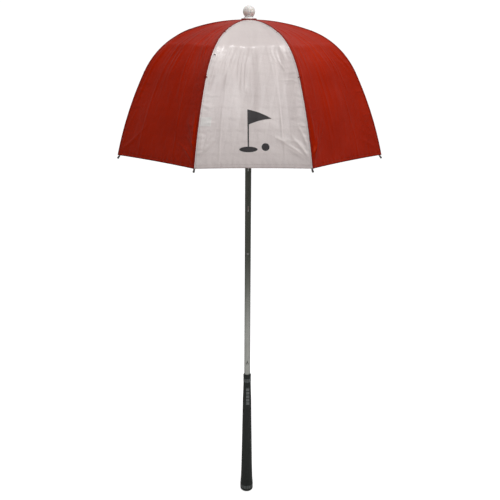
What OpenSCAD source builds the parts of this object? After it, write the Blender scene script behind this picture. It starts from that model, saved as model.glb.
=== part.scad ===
// Golf umbrella, open, standing on its butt end.
// Origin: centre of the butt end. +Z runs up the shaft, -Y faces the front gore.
// Millimetres and degrees. Slopes are measured below level, going outward.

/* [Shaft] */
// Outside diameter of the shaft tube
shaft_d = 12; // [10:0.5:14]
// Wall thickness of the shaft tube
shaft_wall = 0.8; // [0.6:0.1:1.2]
// Height of the stop rivet on the shaft
stop_z = 523.9; // [500:0.1:550]
// Height of the pressed V above the grip
v_mark_z = 294.1; // [285:0.1:310]

/* [Grip] */
// Length of the grip, butt cap included
grip_len = 266.7; // [240:0.1:300]
// Diameter of the butt cap
butt_d = 26.5; // [22:0.5:30]
// Diameter at the waist under the badge
waist_d = 17.6; // [16:0.1:20]
// Diameter at the mouth
mouth_d = 15; // [14:0.1:18]

/* [Canopy] */
// Height of the fabric at the crown
apex_z = 967; // [900:0.1:1050]
// Slope of a seam at the crown
slope_crown = 0.4; // [0:0.1:10]
// Slope of a seam where its shoulder bend starts
slope_shoulder = 18.3; // [10:0.1:30]
// Slope of a seam over the pin between upper and lower rib
slope_pin = 32.2; // [25:0.1:45]
// Slope of a seam just past its shoulder bend
slope_side = 62.6; // [50:0.1:70]
// Slope of a seam at the hem
slope_hem = 76.8; // [70:0.1:88]
// Length along a seam from the crown to the shoulder bend
arc_top = 113.6; // [100:0.1:150]
// Length along a seam round the shoulder
arc_shoulder = 111.1; // [60:0.1:130]
// Length along a seam from the shoulder bend to the hem
arc_side = 153.9; // [130:0.1:200]
// Rise of the hem between two rib tips
hem_rise = 1; // [0:0.5:12]
// Thickness of the fabric
cloth = 0.4; // [0.2:0.1:1]

/* [Frame] */
// Distance from the shaft's axis to the rib and stretcher hinges
hinge_r = 10; // [9:0.5:12]
// Height of the runner's hinge wire when open
runner_z = 758.4; // [740:0.1:790]
// Depth from the seam to the middle of a rib
rib_depth = 3.6; // [3:0.1:6]
// Width of a rib channel at the crown side
rib_w = 3; // [2.4:0.1:4]
// Sheet thickness of ribs and stretchers
sheet = 0.6; // [0.4:0.1:1]
// Diameter of the hinge wires
wire_d = 1.6; // [1.2:0.1:2]

/* [Finial] */
// Diameter of the ball
ball_d = 22.4; // [18:0.1:30]
// Diameter of the rosette over the fabric
rosette_d = 29; // [24:0.5:40]

/* [Hidden] */
$fn = 96;
GORES = 8;
HALF = 180 / GORES;
GAP = 0.05;           // radial clearance of every running or slipped fit
NUMBERS = [for (k = [1:GORES]) k];

CHROME = [0.62, 0.62, 0.6];
STEEL = [0.3, 0.3, 0.31];
BLACK = [0.1, 0.1, 0.11];
RUBBER = [0.14, 0.15, 0.15];
GREY = [0.42, 0.43, 0.44];
WHITE = [0.9, 0.88, 0.85];
RED = [0.66, 0.16, 0.1];
DARK_RED = [0.36, 0.09, 0.09];
TIMBER = [0.7, 0.55, 0.36];

// Places round the shaft: gore 1 faces the front, rib k lies between gores k and k + 1.
function gore_turn(k) = -90 + 2 * HALF * (k - 1);
function rib_turn(k) = gore_turn(k) + HALF;
FRONT = gore_turn(1);

// A seam is three arcs in the plane of a rib, as [radius, height].
function arc_radius(a, b, length) = length * 180 / (PI * (b - a));
function arc_centre(start, a, r) = start - r * [sin(a), cos(a)];
function on_arc(centre, r, a) = centre + r * [sin(a), cos(a)];
function arc_turn(length, r) = length * 180 / (PI * r);
SEAM_START = [8, apex_z];
TOP_R = arc_radius(slope_crown, slope_shoulder, arc_top);
TOP_C = arc_centre(SEAM_START, slope_crown, TOP_R);
SHOULDER = on_arc(TOP_C, TOP_R, slope_shoulder);
BEND_R = arc_radius(slope_shoulder, slope_side, arc_shoulder);
BEND_C = arc_centre(SHOULDER, slope_shoulder, BEND_R);
SIDE_START = on_arc(BEND_C, BEND_R, slope_side);
SIDE_R = arc_radius(slope_side, slope_hem, arc_side);
SIDE_C = arc_centre(SIDE_START, slope_side, SIDE_R);
HEM = on_arc(SIDE_C, SIDE_R, slope_hem);

// Hinge points of a rib and its stretcher, as [radius, height].
CROWN_TURN = asin((hinge_r - TOP_C.x) / (TOP_R - rib_depth));
CROWN_PIN = on_arc(TOP_C, TOP_R - rib_depth, CROWN_TURN);
RIB_PIN = on_arc(BEND_C, BEND_R - rib_depth, slope_pin);
RUNNER_PIN = [hinge_r, runner_z];
STRETCHER_LEN = norm(RUNNER_PIN - RIB_PIN);
STRETCHER_TURN = atan2(RUNNER_PIN.y - RIB_PIN.y, RUNNER_PIN.x - RIB_PIN.x);

// Widths of the layers that share a rib pin, as distances from the rib's middle plane.
LOWER_HALF = 0.7;               // the lower rib's eye
STRAP_IN = 0.9;                 // the stretcher's two cheeks
STRAP_OUT = 1.7;
FORK_IN = 1.9;                  // the upper rib's two cheeks
FORK_OUT = 2.7;
EYE_R = 2.1;
PIN_R = 0.9;
TONGUE_HALF = 0.9;              // the eye that hangs on a hinge wire
SLOT_HALF = 1.2;
RIB_H = 2.6;
LOWER_W = 2.4;
TIP_LEAN = 25;                  // the tip's lean outward from the rib's end
TIP_REACH = 5;                  // from the rib's end to the middle of the tip's bead

SHAFT_R = shaft_d / 2;
BORE_R = SHAFT_R - shaft_wall;
FLANGE_R = hinge_r + 3;
HUB_R = 7.6;                    // floor of the slots in the crown and the runner
BARREL_R = 10.3;
CROWN_TOP = apex_z - 0.8;
SKIRT_Z = apex_z + 2.4;
BALL_Z = SKIRT_Z + 11.8;
RUNNER_TOP = runner_z + 12;
RUNNER_BOTTOM = runner_z - 57;
UPPER_CATCH_Z = RUNNER_BOTTOM - 1;
LOWER_CATCH_Z = stop_z + 85;
CATCH_LEN = 37;                 // from a catch's pivot to the flat of its nose
CATCH_HALF = 0.8;
NOSE_R = 8.6;
PIVOT_R = 0.8;

// Outline of the grip from its foot to its mouth, as [radius, height].
GRIP_FOOT = 16.5;
BUTT_BAND_Z = [7.8, 14.7];
BADGE_Z = [200.5, 239];
BAND_Z = [grip_len - 16.7, grip_len - 9.4];
MOUTH_R = mouth_d / 2;
GRIP_OUTLINE = [
    [butt_d / 2, GRIP_FOOT], [butt_d / 2 - 0.3, GRIP_FOOT + 3], [12.1, 31], [11.2, 60],
    [10.4, 105], [9.3, 170], [waist_d / 2, 212], [8.2, 226], [MOUTH_R + 0.2, grip_len - 20],
    [MOUTH_R + 0.1, grip_len - 8], [MOUTH_R + 0.4, grip_len - 6],
    [MOUTH_R + 0.4, grip_len - 2], [MOUTH_R - 0.3, grip_len]
];
BADGE_OUTLINE = [[waist_d / 2 + 0.2, BADGE_Z[0]], [waist_d / 2 + 0.1, 212],
                 [8.3, 226], [7.95, BADGE_Z[1]]];

// ---- helpers ----

// A bar along an arc in the XZ plane. Its section has X outward and Y across.
module arc_bar(centre, r, a, b) {
    translate([centre.x, 0, centre.y])
        rotate([90, 0, 0])
            rotate([0, 0, 90 - b])
                rotate_extrude(angle = b - a)
                    translate([r, 0])
                        children();
}

// What is cut from a square bar to leave a channel that opens inward.
module channel_core(w, h) {
    translate([-h / 2 - 1, -w / 2 + sheet]) square([h + 1 - sheet, w - 2 * sheet]);
}

// A pin or eye across the rib's plane at a [radius, height] point.
module cross_pin(p, r, half) {
    translate([p.x, 0, p.y])
        rotate([90, 0, 0])
            cylinder(r = r, h = 2 * half, center = true);
}

module at_ribs() {
    for (k = NUMBERS) rotate([0, 0, rib_turn(k)]) children();
}

// Hinge wire. A 1.8 mm eye bows it by 0.04 mm, so its radius is shared out about hinge_r.
module hinge_ring(z, r) {
    bow = (hinge_r - sqrt(hinge_r * hinge_r - TONGUE_HALF * TONGUE_HALF)) / 2;
    translate([0, 0, z])
        rotate_extrude()
            translate([hinge_r + bow, 0]) circle(r = r, $fn = 32);
}

module slots(z0, z1) {
    at_ribs()
        translate([HUB_R, -SLOT_HALF, z0])
            cube([FLANGE_R, 2 * SLOT_HALF, z1 - z0]);
}

module tube(r_out, r_in, z0, z1) {
    translate([0, 0, z0])
        difference() {
            cylinder(r = r_out, h = z1 - z0);
            translate([0, 0, -1]) cylinder(r = r_in, h = z1 - z0 + 2);
        }
}

// ---- shaft, grip and finial ----

module catch_openings() {
    rotate([0, 0, FRONT]) {
        for (z = [UPPER_CATCH_Z - 13, LOWER_CATCH_Z - 2])
            translate([0, -CATCH_HALF - 0.2, z]) cube([2 * SHAFT_R, 2 * CATCH_HALF + 0.4, 15]);
        for (z = [UPPER_CATCH_Z - CATCH_LEN, LOWER_CATCH_Z + CATCH_LEN])
            cross_pin([-1, z], PIVOT_R + 0.01, 2 * SHAFT_R);
    }
}

module shaft_tube() {
    color(CHROME)
        difference() {
            tube(SHAFT_R, BORE_R, 8, CROWN_TOP - 4);
            catch_openings();
            rotate([0, 0, FRONT])
                translate([0, 0, stop_z]) rotate([0, 90, 0]) cylinder(r = 1.5, h = 20);
        }
}

module top_plug() {
    color(TIMBER) tube(BORE_R - GAP, 2.5, CROWN_TOP - 50, CROWN_TOP - 4);
}

module finial_stud() {
    color(STEEL) translate([0, 0, CROWN_TOP - 40]) cylinder(r = 2.5 - GAP, h = 51);
}

module rosette() {
    color(DARK_RED)
        translate([0, 0, apex_z + 0.1])
            difference() {
                union() {
                    cylinder(r = rosette_d / 2, h = 1.4);
                    translate([0, 0, 1.4])
                        cylinder(r1 = rosette_d / 2, r2 = rosette_d / 2 - 1.2, h = 0.9);
                }
                translate([0, 0, -1]) cylinder(r = 2.5, h = 5);
            }
}

module finial_skirt() {
    color(WHITE)
        difference() {
            translate([0, 0, SKIRT_Z])
                rotate_extrude()
                    polygon([[0, 0], [11.2, 0], [10.9, 0.4], [9.6, 1], [8.6, 1.9], [7.9, 3.3], [0, 3.3]]);
            translate([0, 0, BALL_Z]) sphere(r = ball_d / 2 + GAP);
            translate([0, 0, SKIRT_Z - 1]) cylinder(r = 2.5, h = 10);
        }
}

// Dimples stand in rings at even heights of angle.
module finial_ball() {
    rings = 7;
    color(WHITE)
        translate([0, 0, BALL_Z])
            difference() {
                sphere(r = ball_d / 2);
                for (i = [0:rings - 1]) {
                    tilt = -54 + i * 132 / (rings - 1);
                    count = max(1, round(15 * cos(tilt)));
                    for (j = [0:count - 1])
                        rotate([0, -tilt, (j + i % 2 / 2) * 360 / count])
                            translate([ball_d / 2 + 1.4, 0, 0]) sphere(r = 2.1, $fn = 24);
                }
                translate([0, 0, -ball_d]) cylinder(r = 2.5, h = ball_d - 3);
            }
}

module stop_rivet() {
    color(CHROME)
        rotate([0, 0, FRONT])
            translate([0, 0, stop_z])
                rotate([0, 90, 0]) {
                    translate([0, 0, BORE_R - 0.6]) cylinder(r = 1.45, h = 2);
                    difference() {
                        translate([0, 0, SHAFT_R - 1.2]) sphere(r = 2.6);
                        translate([0, 0, SHAFT_R - 6]) cylinder(r = 4, h = 6);
                        translate([0, 0, -50]) cylinder(r = 4, h = 50);
                        rotate([0, -90, 0]) cylinder(r = SHAFT_R + GAP, h = 20, center = true);
                    }
                }
}

// A raised V on the tube, point up.
module v_mark() {
    color(STEEL)
        intersection() {
            tube(SHAFT_R + 0.5, SHAFT_R + 0.01, v_mark_z - 8, v_mark_z + 8);
            rotate([0, 0, FRONT + 90])
                translate([0, 0, v_mark_z])
                    rotate([90, 0, 0])
                        linear_extrude(height = 20)
                            polygon([[0, 4.6], [2.6, -4.4], [1.4, -4.4], [0, 1.4],
                                     [-1.4, -4.4], [-2.6, -4.4]]);
        }
}

module badge_solid(depth, grow) {
    n = len(BADGE_OUTLINE);
    outer = [for (p = BADGE_OUTLINE) p + [0, p.y == BADGE_Z[0] ? -grow : p.y == BADGE_Z[1] ? grow : 0]];
    inner = [for (i = [n - 1:-1:0]) outer[i] - [depth, 0]];
    rotate([0, 0, FRONT - 15])
        rotate_extrude(angle = 46)
            polygon(concat(outer, inner));
}

module grip() {
    color(RUBBER)
        difference() {
            rotate_extrude()
                polygon(concat([[SHAFT_R + GAP, grip_len], [SHAFT_R + GAP, GRIP_FOOT]], GRIP_OUTLINE));
            tube(20, MOUTH_R - 0.8 - GAP, BAND_Z[0] - GAP, BAND_Z[1] + GAP);
            badge_solid(0.8, 0.05);
        }
}

module grip_band() {
    color(GREY) tube(MOUTH_R + 0.35, MOUTH_R - 0.8, BAND_Z[0], BAND_Z[1]);
}

module grip_badge() {
    color(GREY)
        intersection() {
            badge_solid(0.6, 0);
            rotate([0, 0, FRONT + 8])
                translate([0, -3.3, BADGE_Z[0] + 0.2]) cube([30, 6.6, BADGE_Z[1] - BADGE_Z[0] - 0.4]);
        }
}

module butt_cap() {
    r = butt_d / 2;
    fillet = 6;
    steps = 8;
    foot = [for (i = [0:steps])
        [r - fillet + fillet * sin(90 * i / steps), fillet - fillet * cos(90 * i / steps)]];
    color(RUBBER)
        difference() {
            rotate_extrude()
                polygon(concat([[0, 0]], foot, [[r, GRIP_FOOT - GAP], [0, GRIP_FOOT - GAP]]));
            translate([0, 0, 8 - GAP]) cylinder(r = SHAFT_R + GAP, h = 20);
            translate([0, 0, -1]) cylinder(r = 0.8, h = 20);
            tube(20, r - 0.9, BUTT_BAND_Z[0] - GAP, BUTT_BAND_Z[1] + GAP);
        }
}

module butt_band() {
    color(GREY) tube(butt_d / 2, butt_d / 2 - 0.9 + GAP, BUTT_BAND_Z[0], BUTT_BAND_Z[1]);
}

// ---- crown, runner and catches ----

module crown() {
    color(BLACK)
        difference() {
            union() {
                tube(HUB_R + 0.8, SHAFT_R + GAP, CROWN_PIN.y - 16, CROWN_TOP);
                tube(FLANGE_R, SHAFT_R + GAP, CROWN_PIN.y - 3.2, CROWN_TOP);
            }
            slots(CROWN_PIN.y - 4, CROWN_TOP + 1);
            hinge_ring(CROWN_PIN.y, wire_d / 2 + GAP);
        }
}

module crown_wire() {
    color(STEEL) hinge_ring(CROWN_PIN.y, wire_d / 2);
}

module runner() {
    color(BLACK)
        difference() {
            union() {
                tube(BARREL_R, SHAFT_R + 0.1, RUNNER_BOTTOM, RUNNER_TOP);
                tube(FLANGE_R, SHAFT_R + 0.1, runner_z - 3.2, runner_z + 3.2);
                tube(BARREL_R + 1.4, SHAFT_R + 0.1, RUNNER_BOTTOM, RUNNER_BOTTOM + 4);
                for (z = [14:5:34])
                    tube(BARREL_R + 0.8, SHAFT_R + 0.1, RUNNER_BOTTOM + z, RUNNER_BOTTOM + z + 2);
            }
            slots(runner_z - 12, RUNNER_TOP + 1);
            hinge_ring(runner_z, wire_d / 2 + GAP);
            rotate([0, 0, FRONT])
                translate([0, -CATCH_HALF - 0.4, RUNNER_BOTTOM - 1])
                    cube([NOSE_R + 0.4, 2 * CATCH_HALF + 0.8, RUNNER_TOP - RUNNER_BOTTOM + 2]);
        }
}

module runner_wire() {
    color(STEEL) hinge_ring(runner_z, wire_d / 2);
}

// A sprung lever inside the tube. flip = 1 puts its nose above the pivot, -1 below.
module catch(z_flat, flip) {
    color(CHROME)
        rotate([0, 0, FRONT])
            translate([0, 0, z_flat])
                difference() {
                    scale([1, 1, flip])
                        rotate([90, 0, 0])
                            linear_extrude(height = 2 * CATCH_HALF, center = true)
                                polygon([[-2.8, -CATCH_LEN - 3], [0.8, -CATCH_LEN - 3], [3.4, -24],
                                         [4.6, -10], [NOSE_R, -4], [NOSE_R, 0], [2, 0], [-1, -14]]);
                    cross_pin([-1, -flip * CATCH_LEN], PIVOT_R + GAP, 5);
                }
}

module upper_catch() {
    catch(UPPER_CATCH_Z, 1);
}

module lower_catch() {
    catch(LOWER_CATCH_Z, -1);
}

module catch_pins() {
    color(CHROME)
        rotate([0, 0, FRONT])
            for (z = [UPPER_CATCH_Z - CATCH_LEN, LOWER_CATCH_Z + CATCH_LEN])
                cross_pin([-1, z], PIVOT_R, 5.8);
}

// ---- ribs and stretchers ----

// A clip round the rib where its curve changes. The cloth is tied to the rib there.
module rib_clip(r, a, w, h) {
    arc_bar(BEND_C, r, a - arc_turn(1.5, r), a + arc_turn(1.5, r))
        square([h + 0.5, w + 0.5], center = true);
}

module rib_upper(k) {
    top_r = TOP_R - rib_depth;
    bend_r = BEND_R - rib_depth;
    tongue = CROWN_TURN + arc_turn(9, top_r);
    fork = slope_pin - arc_turn(11, bend_r);
    root = slope_pin - arc_turn(8, bend_r);
    color(STEEL)
        rotate([0, 0, rib_turn(k)]) {
            difference() {
                union() {
                    cross_pin(CROWN_PIN, 2, TONGUE_HALF);
                    arc_bar(TOP_C, top_r, CROWN_TURN, tongue + 0.3)
                        square([2.2, 2 * TONGUE_HALF], center = true);
                    arc_bar(TOP_C, top_r, tongue, slope_shoulder)
                        square([RIB_H, rib_w], center = true);
                    arc_bar(BEND_C, bend_r, slope_shoulder, fork + 0.5)
                        square([RIB_H, rib_w], center = true);
                    arc_bar(BEND_C, bend_r, fork, slope_pin)
                        square([RIB_H + 0.4, 2 * FORK_OUT], center = true);
                    rib_clip(bend_r, slope_shoulder, rib_w, RIB_H);
                    cross_pin(RIB_PIN, EYE_R, FORK_OUT);
                }
                cross_pin(CROWN_PIN, wire_d / 2 + GAP, 5);
                arc_bar(TOP_C, top_r, tongue + 0.7, slope_shoulder - arc_turn(2, top_r))
                    channel_core(rib_w, RIB_H);
                arc_bar(BEND_C, bend_r, slope_shoulder + arc_turn(2, bend_r), fork - 0.2)
                    channel_core(rib_w, RIB_H);
                arc_bar(BEND_C, bend_r, root, slope_pin + 6)
                    square([9, 2 * FORK_IN], center = true);
            }
            cross_pin(RIB_PIN, PIN_R, FORK_OUT + 0.3);
            for (side = [-1, 1])
                translate([0, side * (FORK_OUT + 0.2), 0]) cross_pin(RIB_PIN, 1.5, 0.2);
        }
}

// The tip leans out from the rib's end, so that its bead stands under the hem's corner.
module rib_tip(r) {
    start = on_arc(SIDE_C, r, slope_hem);
    translate([start.x, 0, start.y])
        rotate([0, 90 + slope_hem - TIP_LEAN, 0]) {
            translate([0, 0, -1]) cylinder(r = 1.1, h = TIP_REACH + 1);
            translate([0, 0, 1.2]) cylinder(r = 1.6, h = TIP_REACH - 1.2);
            translate([0, 0, TIP_REACH]) sphere(r = 1.95);
        }
}

module rib_lower(k) {
    bend_r = BEND_R - rib_depth;
    side_r = SIDE_R - rib_depth;
    tongue = slope_pin + arc_turn(12, bend_r);
    color(STEEL)
        rotate([0, 0, rib_turn(k)])
            difference() {
                union() {
                    cross_pin(RIB_PIN, EYE_R, LOWER_HALF);
                    arc_bar(BEND_C, bend_r, slope_pin, tongue + 0.5)
                        square([LOWER_W - 0.4, 2 * LOWER_HALF], center = true);
                    arc_bar(BEND_C, bend_r, tongue, slope_side)
                        square([LOWER_W, LOWER_W], center = true);
                    arc_bar(SIDE_C, side_r, slope_side, slope_hem)
                        square([LOWER_W, LOWER_W], center = true);
                    rib_clip(bend_r, slope_side, LOWER_W, LOWER_W);
                    rib_tip(side_r);
                }
                cross_pin(RIB_PIN, PIN_R + GAP, 5);
                arc_bar(BEND_C, bend_r, tongue + 2, slope_side - arc_turn(2, bend_r))
                    channel_core(LOWER_W, LOWER_W);
                arc_bar(SIDE_C, side_r, slope_side + arc_turn(2, side_r), slope_hem - 0.4)
                    channel_core(LOWER_W, LOWER_W);
            }
}

// Local X runs from the rib pin to the runner, local Z away from the shaft side.
module stretcher(k) {
    n = STRETCHER_LEN;
    seat_r = wire_d / 2 + GAP;
    seat_slope = 17.5;
    lead = 7;
    lift = seat_r / cos(seat_slope);
    color(STEEL)
        rotate([0, 0, rib_turn(k)])
            translate([RIB_PIN.x, 0, RIB_PIN.y])
                rotate([0, -STRETCHER_TURN, 0])
                    difference() {
                        union() {
                            for (side = [-1, 1])
                                translate([0, side * (STRAP_IN + STRAP_OUT) / 2, 0]) {
                                    cross_pin([0, 0], EYE_R, (STRAP_OUT - STRAP_IN) / 2);
                                    translate([9, 0, 0])
                                        cube([18, STRAP_OUT - STRAP_IN, RIB_H], center = true);
                                }
                            translate([14, -STRAP_OUT, -RIB_H / 2])
                                cube([n - 31, 2 * STRAP_OUT, sheet]);
                            for (side = [-1, 1])
                                translate([14, side * (STRAP_OUT - sheet / 2) - sheet / 2, -RIB_H / 2])
                                    cube([n - 31, sheet, RIB_H]);
                            translate([n - 21, -STRAP_OUT, -RIB_H / 2])
                                cube([4, 2 * STRAP_OUT, RIB_H]);
                            rotate([90, 0, 0])
                                linear_extrude(height = 2 * TONGUE_HALF, center = true)
                                    polygon([[n - 19, -1.3], [n - lead, lift - lead * tan(seat_slope)],
                                             [n, lift], [n + 0.84, 0.1], [n + 0.9, -0.7],
                                             [n + 1.7, -0.5], [n + 2, 0.8], [n + 1.2, 2.2],
                                             [n - 1, 2.6], [n - 7, 2.2], [n - 12, 1.3], [n - 19, 1.3]]);
                        }
                        cross_pin([0, 0], PIN_R + GAP, 5);
                        cross_pin([n, 0], seat_r, 5);
                    }
}

// ---- canopy ----

function seam_points(centre, r, a, b, n) =
    [for (i = [0:n]) on_arc(centre, r, a + (b - a) * i / n)];

// A gore is flat from seam to seam, so its mid-line stands closer in than its seams.
module gore_sheet(outer, inner) {
    draw = cos(HALF);
    sheet_points = concat(outer, [for (i = [len(inner) - 1:-1:0]) inner[i]]);
    reach = 300;
    intersection() {
        rotate([90, 0, 0])
            linear_extrude(height = reach, center = true)
                polygon([for (p = sheet_points) [p.x * draw, p.y]]);
        translate([0, 0, 600])
            linear_extrude(height = 500)
                polygon([[0.2, 0], [reach, (reach - 0.2) * tan(HALF)],
                         [reach, -(reach - 0.2) * tan(HALF)]]);
    }
}

module gore_colour(k) {
    color(k % 2 == 1 ? WHITE : RED) children();
}

// The seam's points a given depth under the cloth, down to the pin and from the pin down.
function upper_points(depth) = concat(
    seam_points(TOP_C, TOP_R - depth, slope_crown, slope_shoulder, 12),
    seam_points(BEND_C, BEND_R - depth, slope_shoulder + 2, slope_pin - 0.02, 5));
function lower_points(depth) = concat(
    seam_points(BEND_C, BEND_R - depth, slope_pin, slope_side, 11),
    seam_points(SIDE_C, SIDE_R - depth, slope_side + 1, slope_hem, 10));

module gore_upper(k) {
    gore_colour(k)
        rotate([0, 0, gore_turn(k)]) gore_sheet(upper_points(0), upper_points(cloth));
}

module gore_lower(k) {
    half_hem = HEM.x * sin(HALF);
    hem_r = (half_hem * half_hem + hem_rise * hem_rise) / (2 * hem_rise);
    gore_colour(k)
        rotate([0, 0, gore_turn(k)])
            difference() {
                gore_sheet(lower_points(0), lower_points(cloth));
                translate([150, 0, HEM.y + hem_rise - hem_r])
                    rotate([0, 90, 0]) cylinder(r = hem_r, h = 200, $fn = 360);
            }
}

shaft_tube();
top_plug();
finial_stud();
finial_ball();
finial_skirt();
rosette();
crown();
crown_wire();
catch_pins();
stop_rivet();
v_mark();
grip();
grip_band();
grip_badge();
butt_cap();
butt_band();
runner();
runner_wire();
upper_catch();
lower_catch();
for (k = NUMBERS) {
    rib_upper(k);
    rib_lower(k);
    stretcher(k);
    gore_upper(k);
    gore_lower(k);
}
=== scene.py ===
"""Looks of the golf umbrella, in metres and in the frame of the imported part."""
import math

import bpy
import numpy as np
from mathutils import Matrix, Vector


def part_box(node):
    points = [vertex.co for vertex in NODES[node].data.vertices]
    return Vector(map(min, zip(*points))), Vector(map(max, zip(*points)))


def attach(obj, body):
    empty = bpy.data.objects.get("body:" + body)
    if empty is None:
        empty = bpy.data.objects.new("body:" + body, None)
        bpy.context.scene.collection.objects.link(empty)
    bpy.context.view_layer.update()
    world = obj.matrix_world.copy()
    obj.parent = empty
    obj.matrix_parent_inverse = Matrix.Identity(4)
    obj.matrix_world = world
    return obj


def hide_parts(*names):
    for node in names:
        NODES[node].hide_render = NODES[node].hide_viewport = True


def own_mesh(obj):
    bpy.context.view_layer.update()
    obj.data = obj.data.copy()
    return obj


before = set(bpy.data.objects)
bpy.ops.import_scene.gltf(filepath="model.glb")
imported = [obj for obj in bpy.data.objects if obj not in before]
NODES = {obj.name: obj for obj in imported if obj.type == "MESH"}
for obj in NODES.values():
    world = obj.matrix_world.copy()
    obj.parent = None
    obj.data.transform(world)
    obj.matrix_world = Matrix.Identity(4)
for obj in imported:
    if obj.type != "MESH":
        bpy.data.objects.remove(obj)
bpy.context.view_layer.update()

MM = 0.001
GORES = 8
HALF = math.pi / GORES


# ---- places in the canopy, from the frame ----

CROWN_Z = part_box("gore_1_upper")[1].z
SEAM_START = 8 * MM
# Each arc of a seam: its slopes below level at both ends, in degrees, and its length.
SEAM_ARCS = ((0.4, 18.3, 113.6 * MM), (18.3, 62.6, 111.1 * MM), (62.6, 76.8, 153.9 * MM))
SEAM_END = sum(arc[2] for arc in SEAM_ARCS)
# Each gore is split at the ribs' joint pins, where the seams slope by this much.
PIN_SLOPE = 32.2
SHOULDER_LOW, SHOULDER_HIGH, SHOULDER_LEN = SEAM_ARCS[1]
SPLIT = SEAM_ARCS[0][2] + SHOULDER_LEN * (PIN_SLOPE - SHOULDER_LOW) / (SHOULDER_HIGH - SHOULDER_LOW)
HEM_RISE = 1 * MM
HEM_BAND = 7 * MM
FRONT_GORE = 1
BACK_GORE = 5


def seam(s):
    """(radius, height, slope) of a seam at arc length s from its start."""
    s = np.asarray(s, dtype=float)
    r, z, slope = SEAM_START + 0 * s, CROWN_Z + 0 * s, 0 * s
    start = 0.0
    for i, (low, high, length) in enumerate(SEAM_ARCS):
        a, b = math.radians(low), math.radians(high)
        radius = length / (b - a)
        # The last arc runs on a little past the hem.
        most = 1.1 if i == len(SEAM_ARCS) - 1 else 1.0
        t = a + (b - a) * np.clip((s - start) / length, 0, most)
        r = r + radius * (np.sin(t) - math.sin(a))
        z = z + radius * (np.cos(t) - math.cos(a))
        slope = np.where(s >= start, t, slope)
        start += length
    return r, z, slope


def half_width(s):
    """Half the distance between a gore's two seams at arc length s."""
    return seam(s)[0] * math.sin(HALF)


def seam_length_at(height):
    """Arc length at which a seam reaches a height."""
    s = np.linspace(0, SEAM_END, 2000)
    return float(np.interp(-height, -seam(s)[1], s))


# Arc length at which the cloth creases across each gore.
CREASE = seam_length_at(CROWN_Z - 40.3 * MM)
CREASE_RADIUS = 4 * MM


def smooth(x, a, b):
    """Eases from 0 at a to 1 at b."""
    t = np.clip((x - a) / (b - a), 0, 1)
    return t * t * (3 - 2 * t)


def drift(x, y, seed):
    """Slow, repeatable unevenness between about -1 and 1."""
    total = 0
    for i in (1, 2, 3):
        total = total + np.sin(i * x + 1.3 * i * y + 2.1 * seed
                               + 1.5 * np.sin(0.8 * i * y - i * x + seed + i)) / i
    return total / 1.8


def gore_turn(k):
    """Angle round the shaft at which gore k faces."""
    return -math.pi / 2 + 2 * HALF * (k - 1)


def rib_turn(k):
    """Angle round the shaft of rib k, which lies between gore k and the next."""
    return gore_turn(k) + HALF


# ---- the cloth's shape ----

def gore_folds(k):
    """Folds of gore k: lines (x, s) to (x, s) on the cloth, a half width and a height."""
    pick = np.random.default_rng(60 + k).uniform
    white = k % 2 == 1
    # The larger fan hangs on the gore's right half where hand is 1, else on its left.
    hand = 1 if k in (2, 3, 6, 7) else -1
    folds = []

    def fold(u, s, lean, length, width, height):
        """A fold leaves (u, s), lean degrees right of straight down, its sizes in mm."""
        x, angle = u * half_width(s), math.radians(lean)
        folds.append((x, s, x + math.sin(angle) * length * MM,
                      s + math.cos(angle) * length * MM, width * MM, height * MM))

    # Fans of folds hang from the crease and spread with the gore.
    for u in np.linspace(0.05, 0.93, 11 if white else 8):
        fold(hand * (u + pick(-0.03, 0.03)), CREASE + pick(-8, 4) * MM,
             hand * (5 + 15 * min(1, 2 * u) + pick(-4, 4)),
             pick(50, 105), pick(1.2, 2), pick(0.5, 1.1) if white else pick(0.4, 0.9))
    for u in np.linspace(0.5, 0.92, 5):
        fold(-hand * (u + pick(-0.03, 0.03)), CREASE + pick(-6, 12) * MM,
             -hand * pick(11, 20), pick(28, 60), pick(1.2, 2), pick(0.25, 0.6))
    # Long fine lines run down from the crown, straighter on the red gores.
    for _ in range(4 if white else 14):
        u, s = pick(-0.9, 0.9), pick(55, 150) * MM
        fold(u, s, 17 * u, pick(90, 210), pick(0.9, 1.6),
             pick(0.15, 0.45) if white else pick(0.3, 0.9))
    for side in (-1, 1):
        strong = hand * side < 0
        most = 1.5 if strong and not white else 0.7
        # Folds climb in from each hem corner, far more from one of them.
        for _ in range(9 if strong else 4):
            fold(side * 0.98, SEAM_END - pick(2, 38) * MM, side * -pick(112, 168),
                 pick(28, 85), pick(1.2, 2.4), pick(0.4 * most, most))
        # Fine pulls leave the seam between shoulder and hem.
        for _ in range(7):
            s = pick(CREASE + 45 * MM, SEAM_END - 45 * MM)
            fold(side * 0.97, s, side * -pick(78, 102), pick(12, 40),
                 pick(1, 1.8), pick(0.15, 0.4))
    # Faint lines are left from the cloth's folding.
    for u in (pick(-0.6, -0.3), pick(0.3, 0.6)):
        fold(u, CREASE + 20 * MM, 10 * u, 260, 0.8, 0.35)
    return folds


FOLDS = {k: gore_folds(k) for k in range(1, GORES + 1)}


def fold_height(k, x, s):
    """Height of the folds of gore k at (x, s)."""
    total = 0 * x
    for x0, s0, x1, s1, width, height in FOLDS[k]:
        length = math.hypot(x1 - x0, s1 - s0)
        step_x, step_s = (x1 - x0) / length, (s1 - s0) / length
        along = np.clip(((x - x0) * step_x + (s - s0) * step_s) / length, 0, 1)
        off = (x - x0) * step_s - (s - s0) * step_x + 2 * MM * np.sin(4 * along)
        crest = np.exp(1 - np.sqrt(1 + (off / width) ** 2))
        total = total + height * crest * np.sin(math.pi * along) ** 0.8
    return total


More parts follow.
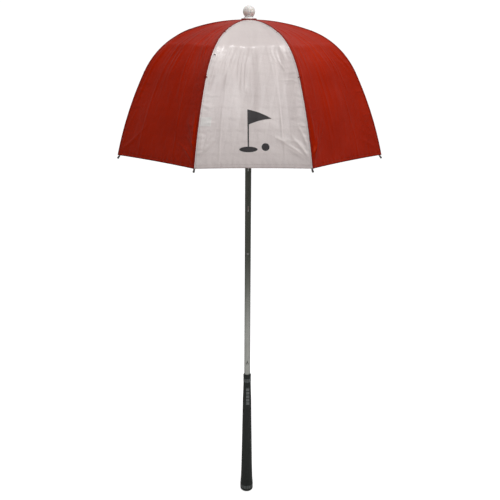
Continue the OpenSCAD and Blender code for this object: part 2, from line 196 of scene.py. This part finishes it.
def cloth_depth(k, u, s):
    """How far the cloth of gore k stands outside the straight line between its seams."""
    free = 1 - u * u
    held = np.minimum(1, 6 * free)
    x = u * half_width(s)
    # Taut from rib to rib at the crease, the cloth falls in above and below it.
    crease_at = CREASE + 2 * MM * drift(3 * u, 0, k)
    off = np.sqrt((s - crease_at) ** 2 + CREASE_RADIUS ** 2) - CREASE_RADIUS
    sag = (9 if k % 2 else 4) * MM
    fall = sag * (np.exp(-off / (80 * MM)) - np.exp(-off / (18 * MM)))
    depth = -1.2 * MM * free - fall * np.minimum(1, 1.8 * free) * (1 + 0.25 * drift(50 * x, 0, k))
    depth = depth + fold_height(k, x, s) * held
    # Slow swells, a fine crumple, and puckers along the seams and the hem.
    depth = depth + 1.5 * MM * free * drift(16 * x, 14 * s, 7 * k)
    depth = depth + 0.14 * MM * held * drift(190 * x, 150 * s, k)
    edge = smooth(np.abs(u), 0.8, 0.95) * held
    depth = depth + 0.14 * MM * edge * np.sin(s * 620 + 3 * drift(0, 40 * s, k))
    hem = smooth(s, SEAM_END - 2 * HEM_BAND, SEAM_END - HEM_BAND)
    depth = depth + 0.16 * MM * hem * held * np.sin(x * 560 + 3 * drift(40 * x, 0, k))
    return depth * smooth(s, 0, 90 * MM)


def on_gore(k, u, s, lift=0.0):
    """Points of gore k: u runs from -1 at its left seam to 1, s down from the crown."""
    rise = HEM_RISE * (1 - u * u) * smooth(s, SEAM_END - 120 * MM, SEAM_END)
    r, z, slope = seam(s - rise)
    depth = cloth_depth(k, u, s) + lift
    x = r * math.cos(HALF) + depth * np.sin(slope)
    y = u * r * math.sin(HALF)
    c, d = math.cos(gore_turn(k)), math.sin(gore_turn(k))
    return np.stack((x * c - y * d, x * d + y * c, z + depth * np.cos(slope)), axis=-1)


def gore_normals(k, u, s):
    """Outward normals of gore k, from its points a short step away on each side."""
    e = 0.4 * MM
    du = e / np.maximum(half_width(s), 2 * MM)
    across = on_gore(k, u + du, s) - on_gore(k, u - du, s)
    down = on_gore(k, u, s + e) - on_gore(k, u, s - e)
    normal = np.cross(down, across)
    return normal / np.linalg.norm(normal, axis=-1, keepdims=True)


# ---- meshes ----

def add_mesh(name, points, faces, material, normals=None):
    mesh = bpy.data.meshes.new(name)
    mesh.from_pydata([tuple(p) for p in points], [], faces)
    mesh.update()
    mesh.polygons.foreach_set("use_smooth", [True] * len(mesh.polygons))
    if normals is not None:
        mesh.normals_split_custom_set_from_vertices([tuple(n) for n in normals])
    obj = bpy.data.objects.new(name, mesh)
    bpy.context.scene.collection.objects.link(obj)
    mesh.materials.append(material)
    return obj


def grid_faces(columns, rows, closed=False):
    """Quads of a grid whose points run along its columns first."""
    wrap = columns if closed else columns - 1
    return [(j * columns + i, (j + 1) * columns + i,
             (j + 1) * columns + (i + 1) % columns, j * columns + (i + 1) % columns)
            for j in range(rows - 1) for i in range(wrap)]


def add_uv(mesh, name, per_vertex):
    layer = mesh.uv_layers.new(name=name)
    order = np.empty(len(mesh.loops), dtype=np.int32)
    mesh.loops.foreach_get("vertex_index", order)
    layer.data.foreach_set("uv", per_vertex.reshape(-1, 2)[order].ravel().astype(np.float32))


def sweep(name, frames, section, material):
    """Carries a closed section of (side, out) points along (centre, side, out) frames."""
    points = [c + a * side + b * out for c, side, out in frames for a, b in section]
    n, last = len(section), len(section) * (len(frames) - 1)
    faces = grid_faces(n, len(frames), closed=True)
    faces += [tuple(range(n)), tuple(range(last + n - 1, last - 1, -1))]
    return add_mesh(name, points, faces, material)


def oval(half_side, half_out, n=10):
    """A closed oval section of n points."""
    turns = [2 * math.pi * i / n for i in range(n)]
    return [(half_side * math.cos(t), half_out * math.sin(t)) for t in turns]


def disc(name, centre, axis, profile, material, n=28):
    """Turns a profile of (radius, height) pairs about an axis through centre."""
    axis = Vector(axis).normalized()
    side = axis.orthogonal().normalized()
    other = axis.cross(side)
    frames = [(Vector(centre) + axis * h, side * r, other * r) for r, h in profile]
    return sweep(name, frames, oval(1, 1, n), material)


# ---- node helpers ----

class Shader:
    """The nodes of a material or of the world, with one short call for each kind."""

    def __init__(self, name, world=False):
        kinds = bpy.data.worlds if world else bpy.data.materials
        self.material = kinds.new(name)
        self.material.use_nodes = True
        self.tree = self.material.node_tree
        self.bsdf = self.tree.nodes["Background" if world else "Principled BSDF"]
        self.output = self.tree.nodes["World Output" if world else "Material Output"]

    def put(self, node, **values):
        for key, value in values.items():
            socket = node.inputs[key.replace("_", " ")]
            if isinstance(value, bpy.types.NodeSocket):
                self.tree.links.new(value, socket)
            else:
                socket.default_value = value
        return node

    def new(self, kind, **settings):
        node = self.tree.nodes.new(kind)
        for key, value in settings.items():
            setattr(node, key, value)
        return node

    def math(self, operation, a, b=0.0, c=0.0):
        node = self.new("ShaderNodeMath", operation=operation)
        for socket, value in zip(node.inputs, (a, b, c)):
            if isinstance(value, bpy.types.NodeSocket):
                self.tree.links.new(value, socket)
            else:
                socket.default_value = value
        return node.outputs[0]

    def xyz(self, vector):
        return self.put(self.new("ShaderNodeSeparateXYZ"), Vector=vector).outputs

    def place(self):
        return self.new("ShaderNodeTexCoord").outputs["Object"]

    def uv(self, name):
        return self.xyz(self.new("ShaderNodeUVMap", uv_map=name).outputs[0])

    def noise(self, scale, detail=3.0, vector=None, roughness=0.5):
        node = self.new("ShaderNodeTexNoise")
        self.put(node, Vector=vector or self.place(), Scale=scale, Detail=detail)
        node.inputs["Roughness"].default_value = roughness
        return node.outputs[0]

    def ramp(self, value, low, high, to_low=0.0, to_high=1.0):
        node = self.new("ShaderNodeMapRange", interpolation_type="SMOOTHSTEP")
        self.put(node, Value=value, From_Min=low, From_Max=high)
        self.put(node, To_Min=to_low, To_Max=to_high)
        return node.outputs[0]

    def mix(self, factor, a, b):
        node = self.new("ShaderNodeMix", data_type="RGBA")
        for index, value in ((0, factor), (6, a), (7, b)):
            socket = node.inputs[index]
            if isinstance(value, bpy.types.NodeSocket):
                self.tree.links.new(value, socket)
            else:
                socket.default_value = value
        return node.outputs[2]

    def bump(self, height, strength, distance, normal=None):
        node = self.new("ShaderNodeBump")
        self.put(node, Height=height, Strength=strength, Distance=distance)
        if normal:
            self.put(node, Normal=normal)
        return node.outputs[0]


def linear(red, green, blue):
    """A colour given as 0 to 255 display values."""
    return tuple((c / 255) ** 2.2 for c in (red, green, blue)) + (1.0,)


# ---- materials ----

STITCH = 2.6 * MM
STITCH_IN = 3.2 * MM
THREAD = 0.3 * MM
WEAVE = 0.5 * MM


def fabric(name, base, shade, stitch, clear, gloss, tint, label=False):
    """Woven nylon. Its seam map holds (distance from the nearest seam, arc length) and its
    hem map (u, distance from the hem)."""
    m = Shader(name)
    across, along = m.uv("seam")[:2]
    side, hem = m.uv("hem")[:2]
    patches = m.noise(14, 3)
    colour = m.mix(m.ramp(patches, 0.3, 0.75, 0, 0.6), base, shade)
    threads = m.noise(900, 2)
    colour = m.mix(m.ramp(threads, 0.4, 0.8, 0, 0.16), colour, shade)
    # Painted shade: the cloth darkens towards each seam, where the gores meet.
    seam_painted_shade = m.ramp(across, 0, 6 * MM, 0.55, 0)
    colour = m.mix(seam_painted_shade, colour, shade)
    dash = m.math("GREATER_THAN", m.math("FRACT", m.math("DIVIDE", along, STITCH)), 0.35)
    row = m.math("COMPARE", across, STITCH_IN, THREAD)
    hem_dash = m.math("GREATER_THAN", m.math("FRACT", m.math("DIVIDE", across, STITCH)), 0.35)
    hem_row = m.math("COMPARE", hem, HEM_BAND - 1 * MM, THREAD)
    thread = m.math("MAXIMUM", m.math("MULTIPLY", dash, row),
                    m.math("MULTIPLY", hem_dash, hem_row))
    colour = m.mix(m.math("MULTIPLY", thread, 0.55), colour, stitch)
    hem_edge = m.ramp(hem, 0.6 * MM, 2.2 * MM, 0.8, 0)
    colour = m.mix(hem_edge, colour, stitch)
    if label:
        middle = seam_length_at(LABEL_Z)
        inside = m.math("MULTIPLY", m.math("COMPARE", across, LABEL_IN + LABEL_W / 2, LABEL_W / 2),
                        m.math("COMPARE", along, middle, LABEL_H / 2))
        inside = m.math("MULTIPLY", inside, m.math("LESS_THAN", side, 0.0))
        colour = m.mix(m.math("MULTIPLY", inside, 0.4), colour, linear(240, 244, 240))
    m.put(m.bsdf, Base_Color=colour, Roughness=m.ramp(patches, 0.2, 0.8, 0.42, 0.55))
    m.put(m.bsdf, Specular_Tint=tint, Coat_Weight=gloss, Coat_Roughness=0.33)
    m.bsdf.inputs["Specular IOR Level"].default_value = 0.5
    weft = m.math("SINE", m.math("MULTIPLY", across, 2 * math.pi / WEAVE))
    warp = m.math("SINE", m.math("MULTIPLY", along, 2 * math.pi / WEAVE))
    weave = m.math("MULTIPLY", weft, warp)
    crumple = m.bump(m.noise(70, 5, roughness=0.55), 0.3, 0.5 * MM)
    sewn = m.bump(thread, 0.8, 0.4 * MM, crumple)
    m.put(m.bsdf, Normal=m.bump(weave, 0.25, 0.06 * MM, sewn))
    glow = m.put(m.new("ShaderNodeBsdfTranslucent"), Color=colour)
    both = m.put(m.new("ShaderNodeMixShader"), Fac=clear)
    m.tree.links.new(m.bsdf.outputs[0], both.inputs[1])
    m.tree.links.new(glow.outputs[0], both.inputs[2])
    m.put(m.output, Surface=both.outputs[0])
    return m.material


def thread_material(name, base, shade):
    m = Shader(name)
    twist = m.noise(1400, 2)
    m.put(m.bsdf, Base_Color=m.mix(twist, base, shade), Roughness=0.8)
    m.bsdf.inputs["Specular IOR Level"].default_value = 0.2
    m.put(m.bsdf, Normal=m.bump(twist, 0.5, 0.15 * MM))
    return m.material


def plastic(name, base, shade, roughness=0.4, grain=900, depth=0.05, coat=0.0):
    m = Shader(name)
    cloud = m.noise(60, 4)
    m.put(m.bsdf, Base_Color=m.mix(cloud, base, shade), Coat_Weight=coat)
    m.put(m.bsdf, Roughness=m.ramp(cloud, 0.25, 0.8, roughness - 0.06, roughness + 0.1))
    m.put(m.bsdf, Normal=m.bump(m.noise(grain, 2), 0.3, depth * MM))
    return m.material


def metal(name, base, shade, roughness, scratch=0.12):
    """Drawn metal: fine lines run round the part, with a few duller rubs."""
    m = Shader(name)
    x, y, z = m.xyz(m.place())
    stretched = m.new("ShaderNodeCombineXYZ")
    m.put(stretched, X=m.math("MULTIPLY", x, 30.0), Y=m.math("MULTIPLY", y, 30.0))
    m.put(stretched, Z=m.math("MULTIPLY", z, 900.0))
    lines = m.noise(1.0, 3, stretched.outputs[0])
    rubs = m.ramp(m.noise(35, 5), 0.5, 0.75)
    m.put(m.bsdf, Base_Color=m.mix(rubs, base, shade), Metallic=1.0)
    m.put(m.bsdf, Roughness=m.ramp(lines, 0.2, 0.8, roughness - 0.05, roughness + 0.1))
    m.put(m.bsdf, Normal=m.bump(lines, scratch, 0.03 * MM))
    return m.material


def shaft_metal():
    """Plated tube: silver towards the grip, darker near the canopy as a painted reflection of its
    dark underside, and darker at its edges as painted shade.
    """
    m = Shader("plated_tube")
    z = m.xyz(m.place())[2]
    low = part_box("grip")[1].z
    # Painted reflection: the tube's colour darkens towards the canopy, standing in for the dark
    # canopy it would mirror.
    height = m.ramp(z, low + 60 * MM, low + 270 * MM)
    colour = m.mix(height, linear(192, 193, 187), linear(98, 100, 92))
    # Painted shade: the colour darkens where the tube turns away from the camera, towards its
    # edges.
    facing = m.new("ShaderNodeLayerWeight")
    m.put(facing, Blend=0.5)
    painted_edge_shade = m.ramp(facing.outputs["Facing"], 0.35, 0.85)
    colour = m.mix(painted_edge_shade, colour, linear(52, 52, 48))
    smear = m.noise(18, 4)
    colour = m.mix(m.ramp(smear, 0.45, 0.8, 0, 0.25), colour, linear(130, 128, 118))
    specks = m.noise(420, 3)
    m.put(m.bsdf, Base_Color=colour, Metallic=0.9)
    m.put(m.bsdf, Roughness=m.ramp(smear, 0.3, 0.8, 0.24, 0.38))
    m.put(m.bsdf, Normal=m.bump(specks, 0.03, 0.02 * MM))
    return m.material


def rubber(name, base, shade, pattern=True):
    """Moulded grip rubber with small diamonds, painted shade in their grooves, and a worn, dusty
    bloom.
    """
    m = Shader(name)
    x, y, z = m.xyz(m.place())
    turn = m.math("ARCTAN2", y, x)
    turns = m.math("MULTIPLY", turn, 14.0)
    up = m.math("MULTIPLY", z, 2 * math.pi / (7 * MM))
    one = m.math("ABSOLUTE", m.math("SINE", m.math("ADD", turns, up)))
    two = m.math("ABSOLUTE", m.math("SINE", m.math("SUBTRACT", turns, up)))
    groove = m.ramp(m.math("MINIMUM", one, two), 0.05, 0.35)
    bloom = m.noise(24, 5)
    colour = m.mix(m.ramp(bloom, 0.35, 0.8), base, shade)
    # Painted shade: the diamonds' grooves are darkened.
    if pattern:
        colour = m.mix(m.math("SUBTRACT", 1.0, groove), colour, linear(22, 24, 24))
    m.put(m.bsdf, Base_Color=colour)
    m.put(m.bsdf, Roughness=m.ramp(bloom, 0.3, 0.8, 0.5, 0.72))
    fine = m.bump(m.noise(1500, 2), 0.25, 0.08 * MM)
    m.put(m.bsdf, Normal=m.bump(groove, 0.5 if pattern else 0.0, 0.2 * MM, fine))
    return m.material


def banded(name, base, mark, count, share):
    """Painted plastic with count short marks round the shaft's axis."""
    m = Shader(name)
    x, y = m.xyz(m.place())[:2]
    around = m.math("MULTIPLY", m.math("ARCTAN2", y, x), count / (2 * math.pi))
    dash = m.math("LESS_THAN", m.math("FRACT", m.math("ADD", around, 100.0)), share)
    worn = m.ramp(m.noise(160, 4), 0.45, 0.7)
    colour = m.mix(m.math("MULTIPLY", dash, m.math("SUBTRACT", 1.0, worn)), base, mark)
    m.put(m.bsdf, Base_Color=colour, Roughness=0.5)
    m.put(m.bsdf, Normal=m.bump(m.noise(700, 2), 0.3, 0.06 * MM))
    return m.material


def badge_paint():
    """Plain rungs of silver-grey paint on the badge."""
    m = Shader("badge_paint")
    z = m.xyz(m.place())[2]
    low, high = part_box("grip_badge")
    step = (high.z - low.z) / 5
    rung = m.math("FRACT", m.math("DIVIDE", m.math("SUBTRACT", z, low.z), step))
    gap = m.math("GREATER_THAN", rung, 0.78)
    worn = m.ramp(m.noise(260, 5), 0.52, 0.72, 0, 0.6)
    colour = m.mix(gap, linear(122, 126, 125), linear(48, 51, 51))
    colour = m.mix(worn, colour, linear(80, 82, 82))
    m.put(m.bsdf, Base_Color=colour, Roughness=0.45, Metallic=0.2)
    m.put(m.bsdf, Normal=m.bump(rung, 0.2, 0.1 * MM))
    return m.material


def timber_material():
    m = Shader("plug_timber")
    rings = m.new("ShaderNodeTexWave")
    m.put(rings, Vector=m.place(), Scale=140.0, Distortion=5.0, Detail=3.0)
    colour = m.mix(rings.outputs[1], linear(190, 150, 104), linear(146, 106, 66))
    m.put(m.bsdf, Base_Color=colour, Roughness=0.65)
    m.put(m.bsdf, Normal=m.bump(rings.outputs[1], 0.3, 0.1 * MM))
    return m.material


def moulded_white(name, base, shade):
    """Hard white plastic with handling marks."""
    m = Shader(name)
    dirt = m.ramp(m.noise(120, 5), 0.45, 0.75, 0, 0.5)
    colour = m.mix(dirt, base, shade)
    m.put(m.bsdf, Base_Color=colour, Roughness=0.32, Coat_Weight=0.3)
    m.bsdf.inputs["Subsurface Weight"].default_value = 0.05
    m.put(m.bsdf, Normal=m.bump(m.noise(900, 2), 0.15, 0.05 * MM))
    return m.material


# The care label: its middle's height, its distance in from the left seam, and its size.
LABEL_Z = CROWN_Z - 158.6 * MM
LABEL_IN = 3.5 * MM
LABEL_W = 17 * MM
LABEL_H = 15 * MM

DARK_THREAD = linear(74, 20, 20)
WHITE_TONES = (linear(228, 217, 214), linear(212, 200, 198), linear(168, 150, 148))
WHITE_CLOTH = fabric("white_cloth", *WHITE_TONES, 0.16, 0.75, (1, 1, 1, 1))
FRONT_CLOTH = fabric("front_cloth", *WHITE_TONES, 0.16, 0.75, (1, 1, 1, 1), label=True)
RED_CLOTH = fabric("red_cloth", linear(172, 36, 2), linear(150, 28, 1), DARK_THREAD, 0.12,
                   0.04, linear(255, 110, 25))
SEAM_THREAD = thread_material("seam_binding", linear(146, 36, 22), linear(104, 22, 14))
TAPE = thread_material("white_tape", linear(225, 220, 215), linear(196, 190, 186))
INK = plastic("black_ink", linear(34, 31, 33), linear(52, 48, 50), 0.55, 700, 0.03)
BLACK_RUBBER = rubber("grip_rubber", linear(37, 42, 39), linear(51, 55, 51))
CAP_RUBBER = rubber("cap_rubber", linear(42, 46, 43), linear(56, 60, 56), pattern=False)
BLACK_PLASTIC = plastic("black_moulding", linear(40, 40, 42), linear(54, 54, 56), 0.45)
BLACK_PAINT = plastic("black_enamel", linear(62, 62, 62), linear(84, 83, 80), 0.35, 500, 0.03, 0.3)
TUBE_METAL = shaft_metal()
WIRE_METAL = metal("wire_steel", linear(170, 170, 168), linear(120, 118, 114), 0.3)
CATCH_METAL = metal("catch_steel", linear(196, 196, 192), linear(140, 138, 132), 0.24)
ROSETTE_RED = plastic("rosette_red", linear(146, 50, 44), linear(112, 34, 32), 0.42)
BAND_PAINT = banded("grip_band_paint", linear(84, 88, 87), linear(112, 116, 115), 12, 0.5)
BUTT_PAINT = banded("butt_band_paint", linear(86, 90, 89), linear(106, 110, 109), 16, 0.45)
LABEL_CLOTH = thread_material("label_satin", linear(238, 236, 232), linear(222, 219, 214))

NODE_MATERIALS = {
    "shaft_tube": TUBE_METAL, "top_plug": timber_material(), "finial_stud": WIRE_METAL,
    "finial_ball": moulded_white("ball_cover", linear(238, 235, 230), linear(202, 197, 191)),
    "finial_skirt": moulded_white("skirt_plastic", linear(252, 250, 248), linear(232, 228, 224)),
    "rosette": ROSETTE_RED,
    "crown": BLACK_PLASTIC, "crown_wire": WIRE_METAL, "catch_pins": WIRE_METAL,
    "stop_rivet": WIRE_METAL, "v_mark": INK, "grip": BLACK_RUBBER,
    "grip_band": BAND_PAINT, "grip_badge": badge_paint(), "butt_cap": CAP_RUBBER,
    "butt_band": BUTT_PAINT, "runner": BLACK_PLASTIC, "runner_wire": WIRE_METAL,
    "upper_catch": CATCH_METAL, "lower_catch": CATCH_METAL,
}
for name, node in NODES.items():
    kind = name.split("_")[0]
    material = NODE_MATERIALS.get(name, BLACK_PAINT)
    if kind != "gore":
        node.data.materials.clear()
        node.data.materials.append(material)


# ---- canopy ----


def fold_gore_piece(piece, k, part):
    """The piece rides on its half of gore k."""
    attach(piece, f"gore_{k}_{part}")
    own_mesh(piece)


def gore_sheet(k, part, s_values, columns=81):
    """One half of gore k, as a grid of points that lies double along its hem."""
    u, s = np.meshgrid(np.linspace(-1, 1, columns), s_values)
    hem = SEAM_END - s
    double = 0.35 * MM * (1 - smooth(hem, HEM_BAND - 1.5 * MM, HEM_BAND))
    points = on_gore(k, u, s, double).reshape(-1, 3)
    normals = gore_normals(k, u, s).reshape(-1, 3)
    cloth = FRONT_CLOTH if k == FRONT_GORE else WHITE_CLOTH if k % 2 else RED_CLOTH
    faces = grid_faces(columns, len(s_values))
    sheet = add_mesh(f"gore_{k}_{part}_cloth", points, faces, cloth, normals)
    add_uv(sheet.data, "seam", np.stack((half_width(s) * (1 - np.abs(u)), s), axis=-1))
    add_uv(sheet.data, "hem", np.stack((u, hem), axis=-1))
    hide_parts(f"gore_{k}_upper" if part == "top" else f"gore_{k}_lower")
    fold_gore_piece(sheet, k, part)


for k in range(1, GORES + 1):
    gore_sheet(k, "top", np.linspace(0, SPLIT, 56))
    gore_sheet(k, "side", np.concatenate((np.linspace(SPLIT, SEAM_END - HEM_BAND - MM, 88),
                                          np.linspace(SEAM_END - HEM_BAND, SEAM_END, 6))))


# ---- seams, tapes and ties along each rib ----

def seam_frames(k, s_values, depth=0.0):
    """Frames along seam k, each with its side and its outward direction."""
    turn = rib_turn(k)
    radial = Vector((math.cos(turn), math.sin(turn), 0))
    side = Vector((-math.sin(turn), math.cos(turn), 0))
    frames = []
    for s in s_values:
        r, z, slope = (float(v) for v in seam(s))
        out = radial * math.sin(slope) + Vector((0, 0, math.cos(slope)))
        frames.append((radial * r + Vector((0, 0, z)) - out * depth, side, out))
    return frames


TAPE_HALF = 3.4 * MM


def add_tape(k, part, s_values):
    """A ribbon under the seam that follows the cloth of the gores on both sides of it."""
    near = 1 - np.minimum(0.6, TAPE_HALF / half_width(s_values))
    left = on_gore(k, near, s_values, -0.7 * MM)
    right = on_gore(k % GORES + 1, -near, s_values, -0.7 * MM)
    points = []
    for (centre, side, out), a, b in zip(seam_frames(k, s_values, 0.8 * MM), left, right):
        top = [Vector(b), centre, Vector(a)]
        points += top + [p - out * 0.25 * MM for p in reversed(top)]
    tape = add_mesh(f"seam_{k}_{part}_tape", points, grid_faces(6, len(s_values), True), TAPE)
    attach(tape, f"rib_{k}_{part}")


def add_tie(k, part, s):
    """Thread that binds the seam to a clip on the rib, with its knot outside."""
    centre, side, out = seam_frames(k, [s], 2.3 * MM)[0]
    down = side.cross(out)
    loop = [(centre + side * (2.5 * MM * math.cos(t)) + out * (2.8 * MM * math.sin(t)),
             side * math.cos(t) + out * math.sin(t), down)
            for t in np.linspace(0, 2 * math.pi, 25)]
    thread = sweep(f"rib_{k}_{part}_tie", loop, oval(0.3 * MM, 0.8 * MM, 6), SEAM_THREAD)
    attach(thread, f"rib_{k}_{part}")
    knot = sweep(f"rib_{k}_{part}_knot",
                 [(centre + out * 2.5 * MM + side * a * MM, down, out)
                  for a in (-1.8, -1, 1, 1.8)],
                 oval(0.7 * MM, 0.4 * MM, 8), SEAM_THREAD)
    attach(knot, f"rib_{k}_{part}")


TOP_SPAN = np.linspace(3 * MM, SPLIT + 1.5 * MM, 40)
SIDE_SPAN = np.linspace(SPLIT - 1.5 * MM, SEAM_END + 0.3 * MM, 60)
for k in range(1, GORES + 1):
    for part, span in (("top", TOP_SPAN), ("end", SIDE_SPAN)):
        welt = sweep(f"seam_{k}_{part}_welt", seam_frames(k, span),
                     oval(0.9 * MM, 0.5 * MM), SEAM_THREAD)
        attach(welt, f"rib_{k}_{part}")
        add_tape(k, part, span[4:-2])
    add_tie(k, "top", SEAM_ARCS[0][2])
    add_tie(k, "end", SEAM_END - SEAM_ARCS[2][2])


# ---- printed and sewn details on the gores ----

def patch(name, k, part, shape, columns, rows, lift, material):
    """Lays shape(a, b), an (x, s) place on gore k for a and b from 0 to 1, over the cloth."""
    a, b = np.meshgrid(np.linspace(0, 1, columns), np.linspace(0, 1, rows))
    x, s = shape(a, b)
    u = x / half_width(s)
    points = on_gore(k, u, s, lift).reshape(-1, 3)
    normals = gore_normals(k, u, s).reshape(-1, 3)
    piece = add_mesh(name, points, grid_faces(columns, rows), material, normals)
    fold_gore_piece(piece, k, part)
    return piece


# Middle of the emblem: a pin flag in its cup, and a ball beside it.
EMBLEM_X = -2 * MM
EMBLEM_S = SEAM_END - 61 * MM


def emblem_bar(left, right, top, foot):
    """A bar between four sides, in mm from the emblem's middle."""
    def shape(a, b):
        return (EMBLEM_X + (left + (right - left) * a) * MM,
                EMBLEM_S - (top + (foot - top) * b) * MM)
    return shape


def emblem_pennant(a, b):
    half = 12.5 * (1 - a) + 0.2
    droop = 1.6 * np.sin(math.pi * a)
    return (EMBLEM_X + (-5 + 37 * a) * MM,
            EMBLEM_S - (25 - 3 * a + droop + half * (1 - 2 * b)) * MM)


def emblem_round(x, y, wide, high):
    """An oval about (x, y), in mm from the emblem's middle."""
    def shape(a, b):
        turn = 2 * math.pi * a
        return (EMBLEM_X + (x + wide * b * np.cos(turn)) * MM,
                EMBLEM_S - (y + high * b * np.sin(turn)) * MM)
    return shape


PRINT_LIFT = 0.2 * MM
patch("emblem_pole", FRONT_GORE, "side", emblem_bar(-7.4, -5, 38, -28), 3, 40, PRINT_LIFT, INK)
patch("emblem_pennant", FRONT_GORE, "side", emblem_pennant, 24, 16, PRINT_LIFT, INK)
patch("emblem_cup", FRONT_GORE, "side", emblem_round(-6, -30, 15, 4.6), 40, 9, PRINT_LIFT, INK)
patch("emblem_ball", FRONT_GORE, "side", emblem_round(22, -26, 6.5, 6.5), 32, 9, PRINT_LIFT, INK)


def label_shape(a, b):
    s = seam_length_at(LABEL_Z) + LABEL_H * (b - 0.5)
    return -half_width(s) + LABEL_IN + LABEL_W * a, s


patch("care_label", FRONT_GORE, "side", label_shape, 12, 12, -0.8 * MM, LABEL_CLOTH)


def tack_shape(a, b):
    s = CREASE + 20 * MM + 2.4 * MM * b
    return -half_width(s) + (4 + 3 * a) * MM, s


patch("front_tack", FRONT_GORE, "side", tack_shape, 5, 5, 0.3 * MM, INK)

STRAP_TOP = SEAM_END - 150 * MM
STRAP_LEN = 128 * MM
STRAP_WIDTH = 15 * MM


def strap_shape(a, b):
    narrow = 1 - 0.25 * smooth(b, 0.9, 1.0)
    return (a - 0.5) * STRAP_WIDTH * narrow, STRAP_TOP + STRAP_LEN * b


def add_strap(columns=9, rows=60):
    """The tie strap on the back gore, with one row of stitches along each side."""
    strap = patch("tie_strap", BACK_GORE, "side", strap_shape, columns, rows, 1.1 * MM, WHITE_CLOTH)
    a, b = np.meshgrid(np.linspace(0, 1, columns), np.linspace(0, 1, rows))
    inwards = 1 - np.abs(2 * a - 1)
    add_uv(strap.data, "seam", np.stack(((2 + 4 * inwards) * MM, STRAP_LEN * b), axis=-1))
    # The strap keeps clear of the hem's own stitches.
    add_uv(strap.data, "hem", np.stack((a, 20 * MM + 0 * b), axis=-1))


add_strap()


def add_snap(name, s, lift):
    """A turned snap on the strap. Its profile is (radius, height) in mm."""
    centre = on_gore(BACK_GORE, 0.0, s, lift)
    axis = gore_normals(BACK_GORE, 0.0, s)
    profile = [(5.2, -0.4), (5.6, 0.2), (4.8, 0.9), (3.2, 1.1), (2.9, 0.7), (1.8, 0.7), (1.6, 1.3),
               (0.3, 1.5)]
    snap = disc(name, centre, axis, [(r * MM, h * MM) for r, h in profile], BLACK_PLASTIC)
    fold_gore_piece(snap, BACK_GORE, "side")


add_snap("snap_stud", STRAP_TOP + 10 * MM, 1.2 * MM)
add_snap("snap_cap", STRAP_TOP + STRAP_LEN - 9 * MM, 1.2 * MM)


# ---- floor, light and camera ----

def camera_share(m, seen, others):
    """One value where the camera looks straight at it and another for all other rays."""
    looks = m.new("ShaderNodeLightPath").outputs["Is Camera Ray"]
    return m.ramp(looks, 0, 1, others, seen)


def add_floor():
    size = 6.0
    points = [(x * size, y * size, 0) for y in (-1, 1) for x in (-1, 1)]
    m = Shader("floor_paper")
    cloud = m.noise(2.0, 3)
    colour = m.mix(cloud, (0.80, 0.80, 0.80, 1), (0.84, 0.84, 0.84, 1))
    m.put(m.bsdf, Base_Color=colour, Roughness=0.95)
    m.put(m.bsdf, Emission_Color=(1, 1, 1, 1), Emission_Strength=camera_share(m, 0.82, 0.0))
    floor = add_mesh("floor", points, [(0, 1, 3, 2)], m.material)


def add_area(name, place, aim, size, power, colour=(1, 1, 1)):
    lamp = bpy.data.lights.new(name, "AREA")
    lamp.shape = "DISK"
    lamp.size = size
    lamp.energy = power
    lamp.color = colour
    obj = bpy.data.objects.new(name, lamp)
    bpy.context.scene.collection.objects.link(obj)
    obj.location = place
    obj.rotation_euler = (Vector(aim) - Vector(place)).to_track_quat("-Z", "Y").to_euler()


def add_camera():
    """Stands a little left of the front, level with the crown, and looks down at the part."""
    place = Vector((-58.3 * MM, -1607.3 * MM, CROWN_Z + 16.7 * MM))
    heading, dip, roll = (math.radians(angle) for angle in (2.0781, 15.7536, -0.30))
    forward = Vector((math.sin(heading) * math.cos(dip), math.cos(heading) * math.cos(dip),
                      -math.sin(dip)))
    right = forward.cross(Vector((0, 0, 1))).normalized()
    up = right.cross(forward)
    x_axis = right * math.cos(roll) - up * math.sin(roll)
    y_axis = right * math.sin(roll) + up * math.cos(roll)
    camera = bpy.data.cameras.new("camera")
    camera.lens = 61.2
    camera.shift_x = 0.0044
    obj = bpy.data.objects.new("camera", camera)
    bpy.context.scene.collection.objects.link(obj)
    axes = Matrix((x_axis, y_axis, -forward)).transposed()
    obj.matrix_world = Matrix.Translation(place) @ axes.to_4x4()
    bpy.context.scene.camera = obj


def add_world():
    """White where the camera sees it; as a light, dimmer in front of the part than behind."""
    m = Shader("world", world=True)
    direction = m.xyz(m.new("ShaderNodeTexCoord").outputs["Generated"])
    room = m.ramp(direction[1], -0.5, 0.6, 0.12, 0.42)
    m.put(m.bsdf, Color=(1, 1, 1, 1), Strength=camera_share(m, 1.05, room))
    bpy.context.scene.world = m.material


add_floor()
add_world()
add_area("key", (0.5, -1.9, 2.3), (0, 0, 0.8), 1.0, 20)
add_area("fill", (-2.2, -1.6, 1.2), (0, 0, 0.6), 2.0, 3.5)
add_area("top", (0.4, -0.3, 2.5), (0, 0, 0.9), 0.5, 16)
add_camera()
bpy.context.scene.view_settings.view_transform = "Standard"
